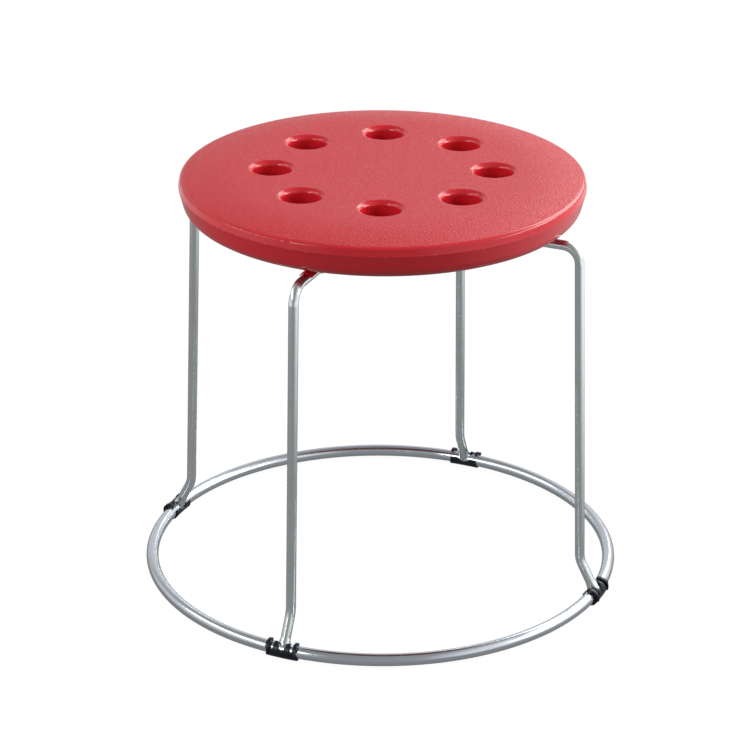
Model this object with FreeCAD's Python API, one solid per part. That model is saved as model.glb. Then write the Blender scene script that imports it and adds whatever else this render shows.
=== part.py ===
import FreeCAD, Part
import math
import os

# A low round stool: a hollow moulded seat with eight finger holes on two bent steel wire frames,
# which cross under the seat and are welded to a round wire base that stands on four plastic clips.
# Millimetres, +Z up, origin on the floor under the centre. The legs lie on the X and Y axes.

Vector = FreeCAD.Vector
up = Vector(0, 0, 1)
along_x = Vector(1, 0, 0)
centre = Vector(0, 0, 0)

# Seat: one blow-moulded hollow disc with a crowned top, widest at its mould line
rim_height = 338.8
shoulder_drop = 5.2
shoulder_reach = 27.0
shoulder_bend_radius = 240.0
seat_edge_radius = 160.9
seat_edge_round = 2.2
band_height = 6.0
seat_widest_radius = 162.3
mould_line_round = 0.8
skirt_height = 17.3
skirt_foot_radius = 157.9
skirt_foot_round = 12.0
pad_drop = 36.0
pad_radius = 125.4
pad_round = 10.0
seat_wall = 3.0

# Finger holes: eight in a ring, drafted from both mould halves to a narrower waist
hole_count = 8
hole_pitch_radius = 88.1
hole_mouth_radius = 15.0
hole_waist_radius = 14.5
hole_lip_round = 4.2

# Wire frames: two bent rods that share one height and cross at the centre
rod_radius = 4.0
arm_drop = 35.0
leg_top_radius = 167.5
leg_bend_radius = 14.0
knee_radius = 176.9
knee_height = 27.0
knee_bend_radius = 20.0
dip_inner_reach = 9.0
dip_outer_reach = 24.0
dip_bend_radius = 14.0

# Base ring and the welds of the feet on it
ring_radius = 191.0
ring_rod_radius = 5.0
weld_gap = 0.1
weld_radius = 4.8
weld_reach = 4.4
foot_inset = 2.0

# Channels under the seat that the arms lie in, each with a moulded hood over its mouth in the skirt
channel_side_gap = 0.5
seat_rest_gap = 0.1
hood_start_radius = 122.0
hood_end_radius = 148.0
hood_wall = 1.2
hood_rise = 1.8
hood_round = 2.2
mouth_flare_length = 9.0
mouth_flare = 0.5

# Saddle straps that hold the arms up in the channels
saddle_place = 112.0
saddle_length = 14.0
saddle_thickness = 1.5
saddle_half_width = 16.0
saddle_corner_round = 5.0
saddle_gap = 0.1

# Self-tapping screws of the saddles and the moulded posts that they bite into
screw_spread = 10.8
screw_shank_radius = 1.75
screw_length = 13.0
screw_tip_length = 2.5
screw_head_radius = 3.8
screw_head_height = 2.6
recess_length = 4.4
recess_width = 0.9
recess_depth = 1.5
screw_hole_gap = 0.45
pilot_gap = 0.05
pilot_depth = 12.5
post_radius = 4.8
post_height = 17.0

# Foot clips: snapped on the ring from below, one under each leg
sole_thickness = 1.4
clip_half_length = 12.7
clip_wall = 1.6
clip_gap = 0.1
clip_offset = 0.5
clip_ear_bulge = 0.9
ear_foot = 2.4
ear_tip_reach = 3.0
end_scoop_radius = 6.0
end_scoop_depth = 1.0
finger_inner_edge = 4.6
finger_outer_edge = 6.8
ear_inner_edge = 9.8
window_floor = 1.2
notch_floor = 1.6
notch_half_width = 1.2
leg_dip_radius = 7.0
leg_dip_floor = 1.0
leg_gap = 0.2

# Directions in degrees, and where the C of a clip is open above the ring
leg_count = 4
full_turn = 360.0
half_turn = full_turn / 2
quarter_turn = full_turn / 4
mouth_open_from = 112.0
mouth_open_to = 156.0

# What every cut runs past the surface that it opens
overrun = 10.0

# Heights and radii that follow from the sizes above
ring_height = sole_thickness + clip_gap + ring_rod_radius
arm_height = rim_height - arm_drop
pad_height = rim_height - pad_drop
top_height = rim_height + shoulder_drop
mould_line_height = rim_height - band_height
skirt_foot_height = mould_line_height - skirt_height
clip_bore_radius = ring_rod_radius + clip_gap
clip_outer_radius = clip_bore_radius + clip_wall
same_height = seat_wall / 100


def section_point(radius, height):
    return Vector(radius, 0, height)


def closed_face(points):
    return Part.Face(Part.makePolygon(points + points[:1]))


def turned(face, degrees=full_turn):
    """The solid that a face in the XZ plane sweeps about Z, centred on the face's own plane."""
    solid = face.revolve(centre, up, degrees)
    solid.rotate(centre, up, -degrees / 2)
    return solid


def placed(shape, degrees):
    """A copy of the shape turned about Z."""
    copy = shape.copy()
    copy.rotate(centre, up, degrees)
    return copy


def bent_wire(corners):
    """A wire through corners (x, z, bend radius), straight between them and bent at the inner ones."""
    points = [section_point(x, z) for x, z, bend in corners]
    start = points[0]
    edges = []
    for number in range(1, len(corners) - 1):
        corner = points[number]
        before = (points[number - 1] - corner).normalize()
        after = (points[number + 1] - corner).normalize()
        half_angle = before.getAngle(after) / 2
        bend = corners[number][2]
        run = bend / math.tan(half_angle)
        middle = (before + after).normalize() * (bend / math.sin(half_angle) - bend)
        arc = Part.Arc(corner + before * run, corner + middle, corner + after * run)
        edges.append(Part.makeLine(start, corner + before * run))
        edges.append(arc.toShape())
        start = corner + after * run
    edges.append(Part.makeLine(start, points[-1]))
    return Part.Wire(edges)


def rounded_disc(inset):
    """The seat as a full disc, or the space inside it when inset is the wall's thickness."""
    corners = [
        (0, top_height - inset, 0),
        (seat_edge_radius - shoulder_reach, top_height - inset, shoulder_bend_radius),
        (seat_edge_radius - inset, rim_height - inset, seat_edge_round),
        (seat_widest_radius - inset, mould_line_height, mould_line_round),
        (skirt_foot_radius - inset, skirt_foot_height + inset, skirt_foot_round - inset),
        (pad_radius - inset, pad_height + inset, pad_round),
        (0, pad_height + inset, 0),
    ]
    outline = bent_wire(corners)
    axis_edge = Part.makeLine(section_point(0, pad_height + inset), section_point(0, top_height - inset))
    return turned(Part.Face(Part.Wire(outline.Edges + [axis_edge])))


def hole_angles():
    step = full_turn / hole_count
    return [step / 2 + step * number for number in range(hole_count)]


def hole_cutters():
    """Two cones a hole, drafted from the top and the pad to the waist between them."""
    waist_height = (rim_height + pad_height) / 2
    upper_rise = top_height + overrun - waist_height
    lower_drop = waist_height - pad_height + overrun
    draft = (hole_mouth_radius - hole_waist_radius) / (rim_height - waist_height)
    upper = Part.makeCone(hole_waist_radius, hole_waist_radius + draft * upper_rise, upper_rise)
    lower = Part.makeCone(hole_waist_radius, hole_waist_radius + draft * lower_drop, lower_drop, centre, -up)
    cutter = upper.fuse(lower)
    cutter.translate(Vector(hole_pitch_radius, 0, waist_height))
    return [placed(cutter, angle) for angle in hole_angles()]


def hole_lip_edges(disc):
    """The edges where the holes meet the flat top and the pad."""
    places = [FreeCAD.Rotation(up, angle).multVec(Vector(hole_pitch_radius, 0, 0)) for angle in hole_angles()]
    found = []
    for edge in disc.Edges:
        box = edge.BoundBox
        middle = Vector(box.Center.x, box.Center.y, 0)
        by_hole = min(middle.distanceToPoint(place) for place in places) < hole_mouth_radius
        at_top = box.ZMin > top_height - same_height
        at_pad = box.ZMax < pad_height + same_height
        if by_hole and (at_top or at_pad):
            found.append(edge)
    return found


channel_radius = rod_radius + channel_side_gap
channel_height = arm_height + rod_radius + seat_rest_gap - channel_radius


def arm_channel(growth):
    """One straight groove along X across the seat with a short flare at each mouth, grown by growth."""
    reach = seat_widest_radius + overrun
    start = hood_end_radius - mouth_flare_length
    groove = Part.makeCylinder(channel_radius + growth, 2 * reach, Vector(-reach, 0, channel_height), along_x)
    flare = Part.makeCone(
        channel_radius + growth,
        channel_radius + mouth_flare + growth,
        mouth_flare_length,
        Vector(start, 0, channel_height),
        along_x,
    )
    return groove.fuse([flare, placed(flare, half_turn)])


def arm_hood():
    """The rounded hood over the arm's mouth at +X: half a round-ended bar with the channel's axis."""
    radius = channel_radius + hood_wall
    outline = bent_wire(
        [
            (hood_start_radius, channel_height + radius, 0),
            (hood_end_radius, channel_height + radius, hood_round),
            (hood_end_radius, channel_height, 0),
        ]
    )
    corner = section_point(hood_start_radius, channel_height)
    back = Part.makeLine(outline.Vertexes[-1].Point, corner)
    down = Part.makeLine(corner, outline.Vertexes[0].Point)
    bar = Part.Face(Part.Wire(outline.Edges + [back, down])).revolve(corner, along_x, half_turn)
    bar.rotate(corner, along_x, -quarter_turn)
    trim_corner = Vector(0, -2 * overrun, arm_height + hood_rise - 2 * overrun)
    return bar.cut(Part.makeBox(hood_end_radius, 4 * overrun, 2 * overrun, trim_corner))


def screw_places():
    places = []
    for leg in range(leg_count):
        for side in (-1, 1):
            spot = Vector(saddle_place, side * screw_spread, 0)
            places.append(FreeCAD.Rotation(up, full_turn / leg_count * leg).multVec(spot))
    return places


def make_seat():
    seat = rounded_disc(0).cut(hole_cutters())
    seat = seat.makeFillet(hole_lip_round, hole_lip_edges(seat))
    hood = arm_hood()
    seat = seat.fuse([placed(hood, full_turn / leg_count * leg) for leg in range(leg_count)])
    channels = [arm_channel(0), placed(arm_channel(0), quarter_turn)]
    pilots = []
    for spot in screw_places():
        base = spot + Vector(0, 0, pad_height - overrun)
        pilots.append(Part.makeCylinder(screw_shank_radius + pilot_gap, overrun + pilot_depth, base))
    seat = seat.cut(channels + pilots)

    hollow = rounded_disc(seat_wall)
    kept = [arm_channel(seat_wall), placed(arm_channel(seat_wall), quarter_turn)]
    for angle in hole_angles():
        tube = Part.makeCylinder(
            hole_mouth_radius + seat_wall,
            top_height - pad_height,
            Vector(hole_pitch_radius, 0, pad_height),
        )
        kept.append(placed(tube, angle))
    for spot in screw_places():
        kept.append(Part.makeCylinder(post_radius, post_height, spot + Vector(0, 0, pad_height)))
    hollow = hollow.cut(kept)
    return seat.cut(hollow)


def base_ring_torus(radius):
    return Part.makeTorus(ring_radius, radius, Vector(0, 0, ring_height))


ring_point = section_point(ring_radius, ring_height)
knee_point = section_point(knee_radius, ring_height + knee_height)
foot_direction = (knee_point - ring_point).normalize()
foot_start = ring_point + foot_direction * foot_inset


def frame_corners(dip):
    """Half of a frame's centre line from the foot to the middle, where the arm drops by dip."""
    half = [
        (foot_start.x, foot_start.z, 0),
        (knee_point.x, knee_point.z, knee_bend_radius),
        (leg_top_radius, arm_height, leg_bend_radius),
    ]
    if dip:
        half.append((dip_outer_reach, arm_height, dip_bend_radius))
        half.append((dip_inner_reach, arm_height - dip, dip_bend_radius))
    mirrored = [(-x, z, bend) for x, z, bend in reversed(half)]
    return half + mirrored


def make_frame(dip):
    """One bent rod in the XZ plane, with its feet cut to the ring and a weld bead round each foot."""
    path = bent_wire(frame_corners(dip))
    section = Part.Wire(Part.makeCircle(rod_radius, foot_start, foot_direction))
    rod = path.makePipeShell([section], True, False)
    bead_start = ring_rod_radius - weld_gap
    bead = Part.makeCone(
        weld_radius, rod_radius, weld_reach, ring_point + foot_direction * bead_start, foot_direction
    )
    rod = rod.fuse([bead, placed(bead, half_turn)])
    return rod.cut(base_ring_torus(ring_rod_radius + weld_gap)).removeSplitter()


def radial_cylinder(radius, along, height, inner, outer):
    """A cylinder that points outwards in X, at the place along the ring and the height above its centre."""
    base = Vector(ring_radius + inner, along, ring_height + height)
    return Part.makeCylinder(radius, outer - inner, base, along_x)


def slot_above(half_width, along, floor, inner, outer):
    """A round-floored slot that opens upwards, cut through one wall of a clip."""
    tall = clip_outer_radius + overrun - floor
    corner = Vector(ring_radius + inner, along - half_width, ring_height + floor + half_width)
    box = Part.makeBox(outer - inner, 2 * half_width, tall, corner)
    return box.fuse(radial_cylinder(half_width, along, floor + half_width, inner, outer))


def make_clip():
    """A clip at +X: a C round the ring, flat under it, with windows, a leg notch and scooped ends."""
    ring_degrees = math.degrees(2 * clip_half_length / ring_radius)
    ear_degrees = math.degrees(2 * ear_inner_edge / ring_radius)

    def full_round(radius, offset, degrees):
        middle = ring_point + along_x * offset
        return turned(Part.Face(Part.Wire(Part.makeCircle(radius, middle, Vector(0, 1, 0)))), degrees)

    body = full_round(clip_outer_radius, clip_offset, ring_degrees)
    ears = full_round(clip_outer_radius + clip_ear_bulge, clip_offset, ring_degrees)
    ears = ears.cut(full_round(clip_outer_radius + overrun, clip_offset, ear_degrees))
    beside_ears = Part.makeBox(
        ring_radius - ear_tip_reach, 4 * overrun, 4 * overrun, Vector(0, -2 * overrun, 0)
    )
    under_corner = Vector(ring_radius - 2 * overrun, -2 * overrun, ring_height - ear_foot - 2 * overrun)
    under_ears = Part.makeBox(4 * overrun, 4 * overrun, 2 * overrun, under_corner)
    clip = body.fuse(ears.cut([beside_ears, under_ears]))

    reach = clip_outer_radius + overrun
    opening = [ring_point]
    for degrees in (mouth_open_from, mouth_open_to):
        turn = math.radians(degrees)
        opening.append(ring_point + section_point(math.cos(turn), math.sin(turn)) * reach)
    floor_corner = Vector(ring_radius - 2 * overrun, -2 * overrun, -overrun)
    cuts = [
        turned(closed_face(opening), 2 * ring_degrees),
        Part.makeBox(4 * overrun, 4 * overrun, overrun, floor_corner),
        full_round(clip_bore_radius, 0, 2 * ring_degrees),
        Part.makeCylinder(weld_radius + leg_gap, reach, ring_point, foot_direction),
    ]

    window_half = (ear_inner_edge - finger_outer_edge) / 2
    window_place = (ear_inner_edge + finger_outer_edge) / 2
    for side in (-1, 1):
        cuts.append(slot_above(window_half, side * window_place, window_floor, -ear_tip_reach, reach))
        scoop_place = side * (clip_half_length - end_scoop_depth + end_scoop_radius)
        cuts.append(radial_cylinder(end_scoop_radius, scoop_place, 0, -reach, reach))

    notch_top = clip_outer_radius
    notch = [
        Vector(0, -notch_half_width, notch_floor),
        Vector(0, notch_half_width, notch_floor),
        Vector(0, finger_inner_edge, notch_top),
        Vector(0, finger_inner_edge, notch_top + overrun),
        Vector(0, -finger_inner_edge, notch_top + overrun),
        Vector(0, -finger_inner_edge, notch_top),
    ]
    notch = closed_face(notch).extrude(along_x * (2 * reach))
    notch.translate(Vector(ring_radius - reach, 0, ring_height))
    cuts.append(notch)
    cuts.append(radial_cylinder(leg_dip_radius, 0, leg_dip_radius - leg_dip_floor, -reach, 0))
    return clip.cut(cuts).removeSplitter()


def make_saddle():
    """A strap under the arm at +X, bent round it and flat against the pad at both ends."""
    start = saddle_place - saddle_length / 2
    along = Vector(saddle_length, 0, 0)
    bore_radius = rod_radius + saddle_gap
    axis_point = Vector(start, 0, arm_height)
    wrap = Part.makeCylinder(bore_radius + saddle_thickness, saddle_length, axis_point, along_x)
    bore = Part.makeCylinder(bore_radius, saddle_length, axis_point, along_x)
    ears = Part.makeBox(
        saddle_length,
        2 * saddle_half_width,
        saddle_thickness,
        Vector(start, -saddle_half_width, pad_height - saddle_thickness),
    )
    upright = [edge for edge in ears.Edges if edge.BoundBox.ZLength > saddle_thickness / 2]
    ears = ears.makeFillet(saddle_corner_round, upright)
    above = Part.makeBox(
        saddle_length + 2 * overrun,
        4 * overrun,
        4 * overrun,
        Vector(start - overrun, -2 * overrun, pad_height),
    )
    strap = wrap.fuse(ears).cut([bore, above])
    holes = []
    for side in (-1, 1):
        base = Vector(saddle_place, side * screw_spread, pad_height - saddle_thickness - overrun)
        holes.append(Part.makeCylinder(screw_shank_radius + screw_hole_gap, 2 * overrun, base))
    return strap.cut(holes).removeSplitter()


def make_screw():
    """A pan-head screw whose head's bearing face is at the origin, with its tip at +Z."""
    middle = math.radians(full_turn / 8)
    head_rim = section_point(screw_head_radius, 0)
    head_side = section_point(screw_head_radius * math.cos(middle), -screw_head_height * math.sin(middle))
    head_top = section_point(0, -screw_head_height)
    shank_end = screw_length - screw_tip_length
    outline = Part.makePolygon(
        [
            head_top,
            centre,
            section_point(0, screw_length),
            section_point(screw_shank_radius, shank_end),
            section_point(screw_shank_radius, 0),
            head_rim,
        ]
    )
    dome = Part.Arc(head_rim, head_side, head_top).toShape()
    screw = turned(Part.Face(Part.Wire(outline.Edges + [dome])))
    recess = []
    for long_way, short_way in ((recess_length, recess_width), (recess_width, recess_length)):
        corner = Vector(-long_way / 2, -short_way / 2, -screw_head_height - overrun)
        recess.append(Part.makeBox(long_way, short_way, overrun + recess_depth, corner))
    return screw.cut(recess)


def make_screws():
    screws = []
    for spot in screw_places():
        screw = make_screw()
        screw.translate(spot + Vector(0, 0, pad_height - saddle_thickness))
        screws.append(screw)
    return Part.makeCompound(screws)


def save(name, shape):
    shape.exportStep(os.path.join("parts", name + ".step"))
    print(name, len(shape.Solids), "solid(s)", round(shape.Volume), "mm3, valid:", shape.isValid())


os.makedirs("parts", exist_ok=True)
frame_dip = 2 * rod_radius + weld_gap
save("seat", make_seat())
save("leg_frame_upper", make_frame(0))
save("leg_frame_lower", placed(make_frame(frame_dip), quarter_turn))
save("base_ring", base_ring_torus(ring_rod_radius))
clip = make_clip()
saddle = make_saddle()
for leg in range(leg_count):
    turn = full_turn / leg_count * leg
    save("foot_clip_%d" % (leg + 1), placed(clip, turn))
    save("arm_saddle_%d" % (leg + 1), placed(saddle, turn))
save("saddle_screws", make_screws())
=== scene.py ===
import math

import bmesh
import bpy
from mathutils import Matrix, Vector


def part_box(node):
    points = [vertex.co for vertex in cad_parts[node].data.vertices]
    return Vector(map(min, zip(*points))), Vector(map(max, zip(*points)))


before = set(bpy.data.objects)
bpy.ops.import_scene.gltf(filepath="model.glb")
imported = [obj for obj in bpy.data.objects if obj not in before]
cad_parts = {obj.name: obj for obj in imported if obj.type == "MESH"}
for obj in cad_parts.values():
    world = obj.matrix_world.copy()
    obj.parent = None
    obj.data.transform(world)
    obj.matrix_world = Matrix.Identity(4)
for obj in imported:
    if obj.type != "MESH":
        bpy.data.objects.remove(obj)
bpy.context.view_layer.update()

# Seat
# One hollow disc of blow-moulded polyethylene, coloured through. The mould's upper face is
# etched, so the top is finely pebbled, and the skirt, the holes and the underside are glossy.
# Small pale spots are painted along the mould line: painted highlights that stand in for its
# glints.

seat_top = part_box("seat")[1].z
seat_red = (0.64, 0.017, 0.028)
seat_dark_red = (0.60, 0.013, 0.022)
mottle_patches = 26.0
seat_ior = 1.50

flat_radius = 0.1078
flat_drop = 0.0002
shoulder_radius = 0.1220
shoulder_drop = 0.0058
lip_fade = 0.00015
etched_radius = 0.1580
rim_fade = 0.0006

smooth_roughness = 0.17
etched_shiny_roughness = 0.26
etched_dull_roughness = 0.46
speckle_cells = 300.0
pebble_cells = 680.0
pebble_height = 0.00060
orange_peel_cells = 90.0
orange_peel_height = 0.00012

mould_line_height = 0.3328
mould_line_width = 0.0011
# Colour, size and strength of the pale spots painted on the mould line as highlights.
painted_glint_red = (0.74, 0.13, 0.13)
painted_glint_spots = 480.0
painted_glint_strength = 0.7


def node_material(name):
    """A new node material and its shader."""
    material = bpy.data.materials.new(name)
    material.use_nodes = True
    shader = material.node_tree.nodes["Principled BSDF"]
    return material, shader


def add_node(material, kind, inputs=None, **settings):
    """A node with its settings and input values."""
    node = material.node_tree.nodes.new(kind)
    for key, value in settings.items():
        setattr(node, key, value)
    for key, value in (inputs or {}).items():
        node.inputs[key].default_value = value
    return node


def join(material, source, output, target, socket):
    """Links one node's output to another node's socket."""
    material.node_tree.links.new(source.outputs[output], target.inputs[socket])


def noise(material, scale, detail=2.0, roughness=0.5):
    """Noise over the object's own coordinates, with scale in features a metre."""
    place = add_node(material, "ShaderNodeTexCoord")
    texture = add_node(
        material, "ShaderNodeTexNoise", {"Scale": scale, "Detail": detail, "Roughness": roughness}
    )
    join(material, place, "Object", texture, "Vector")
    return texture


def spread(material, source, output, low, high, from_low=0.0, from_high=1.0):
    """The source's values between from_low and from_high, mapped to low and high."""
    node = add_node(
        material,
        "ShaderNodeMapRange",
        {"From Min": from_low, "From Max": from_high, "To Min": low, "To Max": high},
    )
    join(material, source, output, node, "Value")
    return node


def multiply(material, first, first_output, second, second_output):
    """The product of two nodes' values."""
    node = add_node(material, "ShaderNodeMath", operation="MULTIPLY")
    join(material, first, first_output, node, 0)
    join(material, second, second_output, node, 1)
    return node


def blend(material, first_colour, second_colour, share, share_output):
    """A mix of two colours, all of it the second where the share is 1."""
    node = add_node(material, "ShaderNodeMixRGB")
    node.inputs["Color1"].default_value = (*first_colour, 1)
    node.inputs["Color2"].default_value = (*second_colour, 1)
    join(material, share, share_output, node, "Fac")
    return node


def add_bump(material, source, output, distance, strength=1.0, after=None):
    """A bump whose height is the source times the distance, on top of an earlier bump."""
    node = add_node(material, "ShaderNodeBump", {"Strength": strength, "Distance": distance})
    join(material, source, output, node, "Height")
    if after:
        join(material, after, "Normal", node, "Normal")
    return node


def paint(node_name, material):
    """Gives a CAD node the material in place of its plain one."""
    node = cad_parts[node_name]
    for slot in node.material_slots:
        slot.material = material


def etched_face(material, place, height):
    """1 on the etched top, 0 in the holes, on their lips, outside the rim and below it."""
    flat = add_node(material, "ShaderNodeVectorMath", {1: (1, 1, 0)}, operation="MULTIPLY")
    join(material, place, "Object", flat, 0)
    radius = add_node(material, "ShaderNodeVectorMath", operation="LENGTH")
    join(material, flat, "Vector", radius, 0)
    # The top falls from its flat middle to the shoulder, and what lies lower is in a hole.
    lowest = spread(
        material, radius, "Value", seat_top - flat_drop, seat_top - shoulder_drop,
        from_low=flat_radius, from_high=shoulder_radius,
    )
    above = add_node(material, "ShaderNodeMath", operation="SUBTRACT")
    join(material, height, "Z", above, 0)
    join(material, lowest, "Result", above, 1)
    upper_face = spread(material, above, "Value", 0.0, 1.0, from_high=lip_fade)
    inside = spread(
        material, radius, "Value", 1.0, 0.0,
        from_low=etched_radius, from_high=etched_radius + rim_fade,
    )
    return multiply(material, upper_face, "Result", inside, "Result")


def mould_line_painted_glints(material, height):
    """Painted highlights: broken pale spots, strongest on the mould line, where it glints."""
    from_line = add_node(material, "ShaderNodeMath", {1: mould_line_height}, operation="SUBTRACT")
    join(material, height, "Z", from_line, 0)
    distance = add_node(material, "ShaderNodeMath", operation="ABSOLUTE")
    join(material, from_line, "Value", distance, 0)
    line = spread(material, distance, "Value", 1.0, 0.0, from_high=mould_line_width)
    spots = noise(material, painted_glint_spots)
    spot = spread(material, spots, "Fac", 0.0, painted_glint_strength, from_low=0.56, from_high=0.70)
    return multiply(material, line, "Result", spot, "Result")


def make_seat_plastic():
    """Slightly mottled red plastic, pebbled where it is etched and glossy elsewhere."""
    material, shader = node_material("moulded_polyethylene")
    shader.inputs["IOR"].default_value = seat_ior
    place = add_node(material, "ShaderNodeTexCoord")
    height = add_node(material, "ShaderNodeSeparateXYZ")
    join(material, place, "Object", height, "Vector")
    etched = etched_face(material, place, height)
    # Painted highlights: pale spots along the mould line.
    painted_glints = mould_line_painted_glints(material, height)

    # The painted highlight spots on the mould line lie over the mottled red.
    mottle = noise(material, mottle_patches, detail=4.0, roughness=0.6)
    colour = blend(material, seat_dark_red, seat_red, mottle, "Fac")
    glinted = blend(material, seat_red, painted_glint_red, painted_glints, "Value")
    join(material, colour, "Color", glinted, "Color1")
    join(material, glinted, "Color", shader, "Base Color")

    # The etched top is as dull as its speckle says, and the rest is smooth.
    speckle = noise(material, speckle_cells, detail=3.0, roughness=0.7)
    dull = spread(
        material, speckle, "Fac", etched_shiny_roughness, etched_dull_roughness,
        from_low=0.36, from_high=0.64,
    )
    gloss = spread(material, etched, "Value", smooth_roughness, etched_dull_roughness)
    join(material, dull, "Result", gloss, "To Max")
    join(material, gloss, "Result", shader, "Roughness")

    cells = noise(material, pebble_cells, detail=3.0, roughness=0.6)
    pebbles = multiply(material, cells, "Fac", etched, "Value")
    peel = noise(material, orange_peel_cells, detail=1.0, roughness=0.4)
    slow = add_bump(material, peel, "Fac", orange_peel_height, strength=0.5)
    fine = add_bump(material, pebbles, "Value", pebble_height, after=slow)
    join(material, fine, "Normal", shader, "Normal")
    return material


paint("seat", make_seat_plastic())

# Leg frames
# Two frames, each one round rod bent into an arm across the seat and two legs, chrome plated
# after bending. The plating is thin, so its polish is a little cloudy and wavy.

rod_chrome_colour = (0.80, 0.85, 0.87)
rod_roughness = 0.18
rod_haze = 0.06
chrome_clouds = 60.0
chrome_shade_share = 0.95
chrome_wave_height = 0.00003


def make_chrome(name, colour, roughness, haze):
    """Thin chrome: bright metal with slow waves in its polish."""
    material, shader = node_material(name)
    shader.inputs["Metallic"].default_value = 1.0
    cloud = noise(material, chrome_clouds, detail=3.0, roughness=0.55)
    shaded = [chrome_shade_share * part for part in colour]
    tint = blend(material, shaded, colour, cloud, "Fac")
    join(material, tint, "Color", shader, "Base Color")
    polish = spread(
        material, cloud, "Fac", roughness, roughness + haze, from_low=0.3, from_high=0.7
    )
    join(material, polish, "Result", shader, "Roughness")
    wave = noise(material, chrome_clouds, detail=1.0, roughness=0.4)
    bump = add_bump(material, wave, "Fac", chrome_wave_height, strength=0.2)
    join(material, bump, "Normal", shader, "Normal")
    return material


rod_chrome = make_chrome("dull_chrome", rod_chrome_colour, rod_roughness, rod_haze)
paint("leg_frame_upper", rod_chrome)
paint("leg_frame_lower", rod_chrome)

# Base ring
# One thicker rod rolled to a ring, butt welded, ground flush and chrome plated brighter than
# the frames.

ring_chrome_colour = (0.78, 0.84, 0.90)
ring_roughness = 0.14
ring_haze = 0.05

paint("base_ring", make_chrome("bright_chrome", ring_chrome_colour, ring_roughness, ring_haze))

# Foot clips
# Four alike, injection moulded in black nylon and snapped on the ring from below. Their mould
# is lightly sparked, which leaves a fine satin grain.

nylon_black = (0.005, 0.006, 0.011)
nylon_grey = (0.011, 0.013, 0.022)
nylon_ior = 1.38
nylon_shiny_roughness = 0.24
nylon_dull_roughness = 0.40
spark_grain = 900.0
spark_height = 0.00006


def make_clip_plastic():
    """Black nylon with a fine satin grain."""
    material, shader = node_material("black_nylon")
    shader.inputs["IOR"].default_value = nylon_ior
    grain = noise(material, spark_grain, detail=2.0, roughness=0.6)
    colour = blend(material, nylon_black, nylon_grey, grain, "Fac")
    join(material, colour, "Color", shader, "Base Color")
    dull = spread(material, grain, "Fac", nylon_shiny_roughness, nylon_dull_roughness)
    join(material, dull, "Result", shader, "Roughness")
    bump = add_bump(material, grain, "Fac", spark_height, strength=0.6)
    join(material, bump, "Normal", shader, "Normal")
    return material


clip_plastic = make_clip_plastic()
for number in (1, 2, 3, 4):
    paint("foot_clip_%d" % number, clip_plastic)

# Saddle straps and their screws
# Strips of zinc-plated steel pressed round the arms, each held by two self-tapping pan-head
# screws. They lie under the seat and show only from below.

strap_zinc_colour = (0.62, 0.63, 0.60)
strap_roughness = 0.30
screw_zinc_colour = (0.70, 0.70, 0.68)
screw_roughness = 0.24
spangle_cells = 380.0
spangle_shade_share = 0.72
spangle_haze = 0.2
spangle_height = 0.00005


def make_zinc(name, colour, roughness):
    """Zinc plating, whose spangle shows in its colour, its gloss and its surface."""
    material, shader = node_material(name)
    shader.inputs["Metallic"].default_value = 1.0
    spangle = noise(material, spangle_cells, detail=3.0, roughness=0.6)
    shaded = [spangle_shade_share * part for part in colour]
    tint = blend(material, shaded, colour, spangle, "Fac")
    join(material, tint, "Color", shader, "Base Color")
    dull = spread(material, spangle, "Fac", roughness, roughness + spangle_haze)
    join(material, dull, "Result", shader, "Roughness")
    bump = add_bump(material, spangle, "Fac", spangle_height, strength=0.5)
    join(material, bump, "Normal", shader, "Normal")
    return material


strap_zinc = make_zinc("zinc_strip", strap_zinc_colour, strap_roughness)
for number in (1, 2, 3, 4):
    paint("arm_saddle_%d" % number, strap_zinc)
paint("saddle_screws", make_zinc("zinc_screw", screw_zinc_colour, screw_roughness))

# Floor
# A wide painted sweep that the stool stands on. It is white to the camera and keeps the stool's
# soft shadow, and the chrome mirrors its dark middle between the white sides of the cove.

camera_turn = math.radians(23.3)
floor_size = 6.0
floor_paint = (0.05, 0.05, 0.05)
floor_roughness = 0.9
floor_white = 0.95
floor_shade = (0.08, 0.08, 0.08)
floor_dark_share = 0.20

floor_mesh = bmesh.new()
bmesh.ops.create_grid(floor_mesh, x_segments=1, y_segments=1, size=floor_size)
floor_data = bpy.data.meshes.new("floor")
floor_mesh.to_mesh(floor_data)
floor_mesh.free()
floor = bpy.data.objects.new("floor", floor_data)
bpy.context.scene.collection.objects.link(floor)


def larger(material, *sources):
    """The largest of the values, each given as a node and the name of its output."""
    node, output = sources[0]
    for other, other_output in sources[1:]:
        either = add_node(material, "ShaderNodeMath", operation="MAXIMUM")
        join(material, node, output, either, 0)
        join(material, other, other_output, either, 1)
        node, output = either, "Value"
    return node


def cove(material, vector, output, dark_middle, side_near, side_far, back_near, back_far):
    """1 at the sides and behind the stool, where the white cove stands, and 0 in the open front."""
    turn = add_node(material, "ShaderNodeMapping")
    turn.inputs["Rotation"].default_value = (0, 0, -camera_turn)
    join(material, vector, output, turn, "Vector")
    parts = add_node(material, "ShaderNodeSeparateXYZ")
    join(material, turn, "Vector", parts, "Vector")
    shifted = add_node(material, "ShaderNodeMath", {1: dark_middle}, operation="SUBTRACT")
    join(material, parts, "X", shifted, 0)
    aside = add_node(material, "ShaderNodeMath", operation="ABSOLUTE")
    join(material, shifted, "Value", aside, 0)
    side = spread(material, aside, "Value", 0.0, 1.0, from_low=side_near, from_high=side_far)
    back = spread(material, parts, "Y", 0.0, 1.0, from_low=back_near, from_high=back_far)
    return larger(material, (side, "Result"), (back, "Result"))


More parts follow.
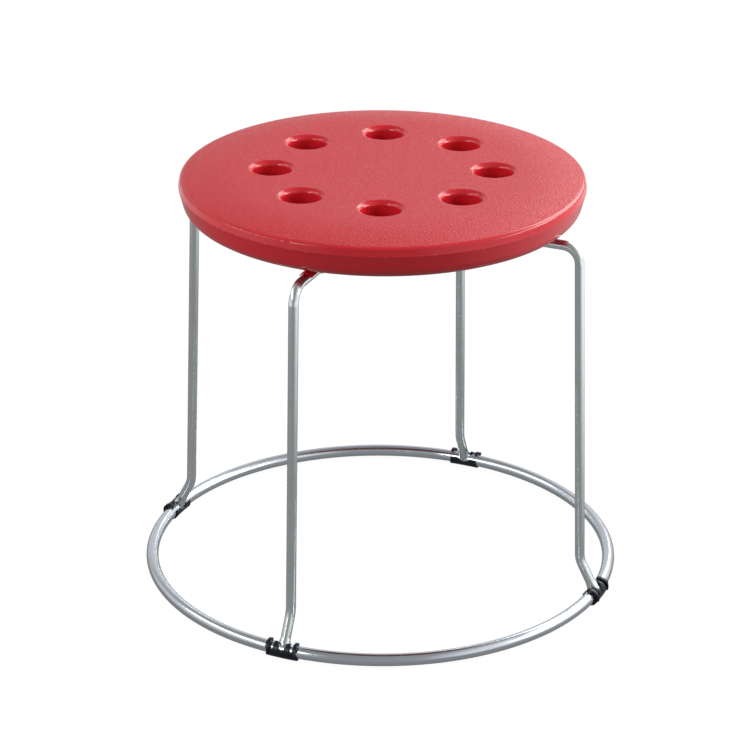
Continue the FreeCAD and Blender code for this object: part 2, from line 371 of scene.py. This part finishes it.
def make_floor_paint():
    """White to the camera, dark grey to the light, and in reflections white from the cove on.

    From below it is clear, so that a view from there shows the underside.
    """
    material, shader = node_material("white_sweep")
    shader.inputs["Base Color"].default_value = (*floor_paint, 1)
    shader.inputs["Roughness"].default_value = floor_roughness
    output = material.node_tree.nodes["Material Output"]

    place = add_node(material, "ShaderNodeTexCoord")
    white_part = cove(
        material, place, "Object",
        dark_middle=-0.35, side_near=0.60, side_far=1.15, back_near=0.60, back_far=1.30,
    )
    ray = add_node(material, "ShaderNodeLightPath")
    share = spread(material, white_part, "Value", floor_dark_share, 1.0)
    mirrored = multiply(material, ray, "Is Glossy Ray", share, "Result")
    seen = larger(
        material, (ray, "Is Camera Ray"), (ray, "Is Transmission Ray"), (mirrored, "Value")
    )
    white = add_node(material, "ShaderNodeEmission", {"Strength": floor_white})
    shade = add_node(material, "ShaderNodeBsdfDiffuse")
    shade.inputs["Color"].default_value = (*floor_shade, 1)
    shown = add_node(material, "ShaderNodeAddShader")
    join(material, white, "Emission", shown, 0)
    join(material, shade, "BSDF", shown, 1)
    choose = add_node(material, "ShaderNodeMixShader")
    join(material, seen, "Value", choose, "Fac")
    join(material, shader, "BSDF", choose, 1)
    join(material, shown, "Shader", choose, 2)

    side = add_node(material, "ShaderNodeNewGeometry")
    clear = add_node(material, "ShaderNodeBsdfTransparent")
    one_way = add_node(material, "ShaderNodeMixShader")
    join(material, side, "Backfacing", one_way, "Fac")
    join(material, choose, "Shader", one_way, 1)
    join(material, clear, "BSDF", one_way, 2)
    join(material, one_way, "Shader", output, "Surface")
    return material


floor_data.materials.append(make_floor_paint())

bpy.context.scene.view_settings.view_transform = "Standard"

# Camera
# A long lens that looks down on the stool from between two legs, as the photograph does. The
# small pan and roll are the photograph's own.

camera_distance = 2.1825
camera_height = 1.1318
camera_pan = math.radians(0.137)
camera_tilt = math.radians(90 - 23.891)
camera_roll = math.radians(0.285)
camera_data = bpy.data.cameras.new("camera")
camera_data.sensor_width = 36.0
camera_data.lens = 140.0
camera_data.clip_end = 20.0
camera = bpy.data.objects.new("camera", camera_data)
bpy.context.scene.collection.objects.link(camera)
bpy.context.scene.camera = camera


def seen_from_camera(right, back, rise):
    """A point by its place right of, behind and above the stool's foot, as the camera sees it."""
    return Matrix.Rotation(camera_turn, 3, "Z") @ Vector((right, back, rise))


camera.matrix_world = (
    Matrix.Translation(seen_from_camera(0, -camera_distance, camera_height))
    @ Matrix.Rotation(camera_turn + camera_pan, 4, "Z")
    @ Matrix.Rotation(camera_tilt, 4, "X")
    @ Matrix.Rotation(camera_roll, 4, "Z")
)

# Light
# A wide soft box behind the right side, three smaller ones round the stool and two low fills
# that the gloss doesn't show, in a room that is pale behind the stool and dim behind the camera.

lamp_aim = (0, 0, 0.25)
room_dim = 0.315
room_white = 0.8
dim_side_share = 0.75


def soft_box(name, place, size, watts):
    """A rectangular lamp, placed as the camera sees it, that faces the middle of the stool."""
    data = bpy.data.lights.new(name, "AREA")
    data.shape = "RECTANGLE"
    data.size, data.size_y = size
    data.energy = watts
    lamp = bpy.data.objects.new(name, data)
    bpy.context.scene.collection.objects.link(lamp)
    lamp.location = seen_from_camera(*place)
    lamp.rotation_mode = "QUATERNION"
    lamp.rotation_quaternion = (Vector(lamp_aim) - lamp.location).to_track_quat("-Z", "Y")
    return lamp


soft_box("back_right_box", place=(1.46, 1.22, 1.44), size=(2.6, 1.1), watts=32.5)
soft_box("right_box", place=(2.1, -0.1, 0.98), size=(1.5, 0.75), watts=21.5)
soft_box("left_box", place=(-2.0, -0.15, 1.45), size=(1.8, 0.55), watts=10.0)
soft_box("front_left_box", place=(-1.5, -1.37, 1.17), size=(0.8, 0.6), watts=9.0)
low_fill_left = soft_box("low_fill_left", place=(-2.0, -0.6, 0.35), size=(1.0, 0.6), watts=7.0)
low_fill_right = soft_box("low_fill_right", place=(2.0, -0.6, 0.35), size=(1.0, 0.6), watts=6.5)
low_fill_left.visible_glossy = False
low_fill_right.visible_glossy = False


def make_room_light():
    """A white cove round three sides of the stool, dim overhead and towards the camera."""
    world = bpy.data.worlds.new("studio")
    bpy.context.scene.world = world
    world.use_nodes = True
    background = world.node_tree.nodes["Background"]
    background.inputs["Color"].default_value = (1, 1, 1, 1)
    place = add_node(world, "ShaderNodeTexCoord")
    white_part = cove(
        world, place, "Generated",
        dark_middle=-0.06, side_near=0.34, side_far=0.70, back_near=0.58, back_far=0.88,
    )
    room = spread(world, white_part, "Value", room_dim, room_white)
    parts = add_node(world, "ShaderNodeSeparateXYZ")
    join(world, place, "Generated", parts, "Vector")
    window_side = spread(world, parts, "X", dim_side_share, 1.0, from_low=-0.7, from_high=0.5)
    room_light = multiply(world, room, "Result", window_side, "Result")
    ray = add_node(world, "ShaderNodeLightPath")
    level = larger(
        world, (room_light, "Value"), (ray, "Is Camera Ray"), (ray, "Is Transmission Ray")
    )
    join(world, level, "Value", background, "Strength")


make_room_light()
